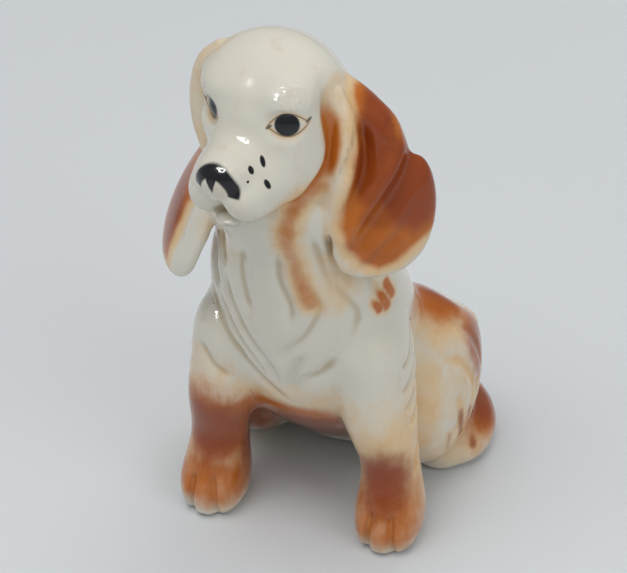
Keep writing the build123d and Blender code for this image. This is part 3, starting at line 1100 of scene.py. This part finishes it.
def glaze():
    """Clear glaze over cream clay, with the paint under it."""
    material = bpy.data.materials.new("painted_glaze")
    material.use_nodes = True
    tree = material.node_tree
    shader = tree.nodes["Principled BSDF"]
    cloud = noise(tree, 260.0)
    fine = noise(tree, 1500.0, 4.0, 0.6)
    streak = noise(tree, 700.0, 3.0, 0.6, (1.0, 1.0, 0.22))
    jitter = maths(tree, "ADD", maths(tree, "MULTIPLY", cloud, 0.7), maths(tree, "MULTIPLY", streak, 0.3))
    jitter = maths(tree, "SUBTRACT", jitter, 0.5)

    def layer(name, ragged, end, start=0.0):
        """A paint mask with a ragged edge, full from the end value."""
        value = maths(tree, "MULTIPLY_ADD", jitter, ragged, attribute(tree, name))
        return stepped(tree, value, start, end)

    # painted shade: the white is darkened and yellowed in hollows and grooves, partly as glaze gathered there
    pooled_and_shaded = maths(tree, "MULTIPLY", stepped(tree, attribute(tree, "hollow"), 0.05, 0.9), 0.7)
    ink, lid = face_paint(tree, jitter)
    colour = mixed(tree, pooled_and_shaded, WHITE, POOLED_AND_SHADED)
    for share, paint in (
        (maths(tree, "MULTIPLY", layer("tan", 1.0, 1.0, 0.05), 0.85), TAN),
        (layer("orange", 0.7, 0.85), ORANGE),
        (layer("brown", 0.8, 1.05), BROWN),
        (attribute(tree, "bare"), CLAY),
        (maths(tree, "MULTIPLY", lid, 0.6), TAN),
        (ink, INK),
    ):
        colour = mixed(tree, share, colour, paint)
    tree.links.new(colour, shader.inputs["Base Color"])
    shine = maths(tree, "MULTIPLY_ADD", fine, 0.12, GLAZE_ROUGHNESS)
    rough = maths(tree, "MULTIPLY_ADD", attribute(tree, "bare"), CLAY_ROUGHNESS, shine)
    tree.links.new(rough, shader.inputs["Roughness"])
    for name, value in GLAZE.items():
        shader.inputs[name].default_value = value
    bump = tree.nodes.new("ShaderNodeBump")
    bump.inputs["Strength"].default_value = RIPPLE_STRENGTH
    bump.inputs["Distance"].default_value = RIPPLE_HEIGHT
    tree.links.new(maths(tree, "ADD", cloud, maths(tree, "MULTIPLY", fine, 0.3)), bump.inputs["Height"])
    tree.links.new(bump.outputs["Normal"], shader.inputs["Normal"])
    return material


painted_glaze = glaze()


# ---------------- the castings' skins

def add_skin(node):
    """The skin of one casting as an object that stands in for it."""
    used, index = np.unique(quads[node], return_inverse=True)
    index = index.reshape(quads[node].shape).astype(np.int32)
    mesh = bpy.data.meshes.new(node)
    mesh.vertices.add(len(used))
    mesh.vertices.foreach_set("co", to_row(skin_points[used]).astype(np.float32).ravel())
    mesh.loops.add(index.size)
    mesh.loops.foreach_set("vertex_index", index.ravel())
    mesh.polygons.add(len(index))
    mesh.polygons.foreach_set("loop_start", np.arange(0, index.size, 4, dtype=np.int32))
    mesh.polygons.foreach_set("loop_total", np.full(len(index), 4, np.int32))
    mesh.update(calc_edges=True)
    mesh.validate()
    mesh.polygons.foreach_set("use_smooth", np.ones(len(mesh.polygons), bool))
    for mask, values in masks.items():
        layer = mesh.attributes.new(mask, "FLOAT", "POINT")
        layer.data.foreach_set("value", values[used].astype(np.float32))
    mesh.normals_split_custom_set_from_vertices([tuple(n) for n in normals[used]])
    mesh.materials.append(painted_glaze)
    piece = bpy.data.objects.new(f"{node}_skin", mesh)
    bpy.context.scene.collection.objects.link(piece)
    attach(piece, "root")
    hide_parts(node)


for node in CASTINGS:
    add_skin(node)


# ---------------- floor, light and camera, in metres

FLOOR_COLOURS = ((0.60, 0.634, 0.660), (0.634, 0.664, 0.686))
LAMPS = (  # name, place, size, watts
    ("key", (-0.12, -0.32, 0.85), 0.6, 4.1),
    ("fill", (0.6, -0.35, 0.5), 0.5, 1.4),
    ("back", (0.1, 0.7, 0.6), 0.5, 1.8),
)
RING_LAMPS = (  # name, place, width
    ("ring", (-0.17, -0.42, 0.55), 0.20),
    ("small_ring", (-0.36, -0.40, 0.66), 0.12),
)
RING_STRENGTH = 80.0
RING_COLOURS = ((1.0, 0.97, 0.93), (1.0, 1.0, 1.0))
SKY = (0.93, 0.92, 0.91, 1)
SKY_STRENGTH = 0.42
CAMERA_TARGET = (-0.2, -1.3, 43.1)  # in the layout
CAMERA_AZIMUTH = math.radians(19.0)
CAMERA_ELEVATION = math.radians(33.4)
CAMERA_DISTANCE = 0.350
CAMERA_LENS = 122.6
SENSOR = 36.0


def new_material(name):
    """A material with its node tree and its shader."""
    material = bpy.data.materials.new(name)
    material.use_nodes = True
    return material, material.node_tree, material.node_tree.nodes["Principled BSDF"]


def facing(place, target):
    """Rotation of a lamp at a place that shines at a target."""
    return (Vector(target) - Vector(place)).to_track_quat("-Z", "Y").to_euler()


def floor_sheet():
    """A pale matt sheet under the figure."""
    bpy.ops.mesh.primitive_plane_add(size=6.0, location=(0, 0, 0))
    sheet = bpy.context.object
    sheet.name = "floor"
    material, tree, shader = new_material("floor")
    tree.links.new(mixed(tree, noise(tree, 4.0), *FLOOR_COLOURS), shader.inputs["Base Color"])
    shader.inputs["Roughness"].default_value = 0.75
    sheet.data.materials.append(material)


def lamp(name, place, size, power):
    """A square soft light that faces the figure and doesn't show in the glaze."""
    light = bpy.data.lights.new(name, "AREA")
    light.size = size
    light.energy = power
    made = bpy.data.objects.new(name, light)
    made.location = place
    made.rotation_euler = facing(place, (0, 0, 0.05))
    made.visible_glossy = False
    bpy.context.scene.collection.objects.link(made)


def ring_lamp(name, place, width):
    """A small ring of light that only shows as a loop in the glaze."""
    bpy.ops.mesh.primitive_torus_add(
        major_radius=width / 2, minor_radius=width * 0.07,
        location=place, rotation=facing(place, (0, 0, 0.08)),
    )
    ring = bpy.context.object
    ring.name = name
    material, tree, glow = new_material(name)
    tree.links.new(mixed(tree, noise(tree, 9.0), *RING_COLOURS), glow.inputs["Emission Color"])
    glow.inputs["Emission Strength"].default_value = RING_STRENGTH
    glow.inputs["Base Color"].default_value = (0.1, 0.1, 0.1, 1)
    ring.data.materials.append(material)
    ring.visible_diffuse = False
    ring.visible_camera = False


def sky():
    """An even, dim light from all round."""
    world = bpy.data.worlds.new("studio")
    world.use_nodes = True
    background = world.node_tree.nodes["Background"]
    background.inputs["Color"].default_value = SKY
    background.inputs["Strength"].default_value = SKY_STRENGTH
    bpy.context.scene.world = world


def place_camera():
    """Close, from the dog's left front and above."""
    a, e = CAMERA_AZIMUTH, CAMERA_ELEVATION
    back = Vector((math.sin(a) * math.cos(e), -math.cos(a) * math.cos(e), math.sin(e)))
    right = Vector((math.cos(a), math.sin(a), 0))
    rotation = Matrix((right, back.cross(right), back)).transposed()
    camera = bpy.data.cameras.new("camera")
    camera.sensor_width = SENSOR
    camera.lens = CAMERA_LENS
    made = bpy.data.objects.new("camera", camera)
    place = Vector(to_row(CAMERA_TARGET)) + back * CAMERA_DISTANCE
    made.matrix_world = Matrix.Translation(place) @ rotation.to_4x4()
    bpy.context.scene.collection.objects.link(made)
    bpy.context.scene.camera = made


floor_sheet()
for settings in LAMPS:
    lamp(*settings)
for settings in RING_LAMPS:
    ring_lamp(*settings)
sky()
place_camera()
bpy.context.scene.view_settings.view_transform = "Standard"
